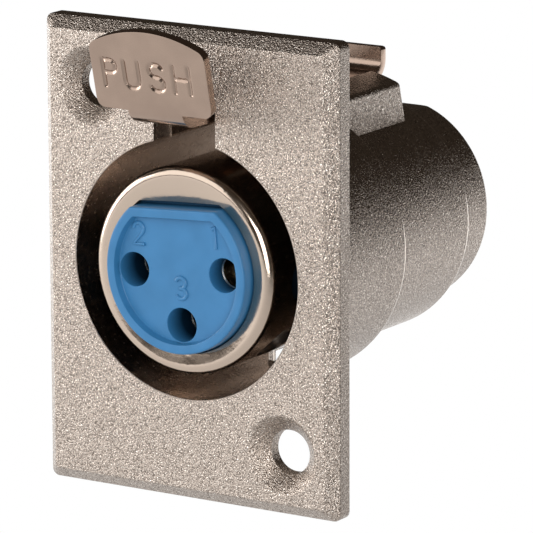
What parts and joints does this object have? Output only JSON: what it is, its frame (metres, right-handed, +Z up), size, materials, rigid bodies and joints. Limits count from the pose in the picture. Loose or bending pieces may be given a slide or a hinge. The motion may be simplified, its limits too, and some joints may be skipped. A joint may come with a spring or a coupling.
{
  "type": "xlr panel socket",
  "caption": "Panel-mounted female XLR connector: die-cast flange and shroud, inner barrel, insulated socket contacts and a sprung push latch.",
  "frame": {"origin": "on the socket axis in the flange's back face, which lies on the panel", "axes": "-Y is the way the socket faces, +Y runs back through the panel, +Z is up to the latch and +X is right, seen from the front"},
  "size_m": [0.026, 0.0362, 0.0365],
  "materials": {
    "cast_nickel": "nickel plate over a sandy-grained zinc die casting",
    "drawn_nickel": "satin nickel plate over a drawn sleeve",
    "sheet_nickel": "satin nickel plate over bent sheet steel",
    "plain_steel": "bright steel",
    "blue_plastic": "moulded, satin",
    "plated_brass": "plated turned brass"
  },
  "bodies": {
    "shell": {"housing": "cast_nickel", "barrel": "drawn_nickel", "front_insert": "blue_plastic", "rear_insert": "blue_plastic", "contact_1": "plated_brass", "contact_2": "plated_brass", "contact_3": "plated_brass", "latch_pin": "plain_steel", "latch_spring": "plain_steel", "insert_screw": "plain_steel"},
    "latch": {"latch_lever": "sheet_nickel"}
  },
  "joints": [
    {"name": "latch_lift", "type": "hinge", "parent": "shell", "child": "latch", "pos_m": [0, 0.0157, 0.01015], "axis": [-1, 0, 0], "range_deg": [0, 4.5], "stiffness_Nm_per_rad": 0.6, "springref_deg": -2.86, "deforming": ["latch_spring"]}
  ]
}
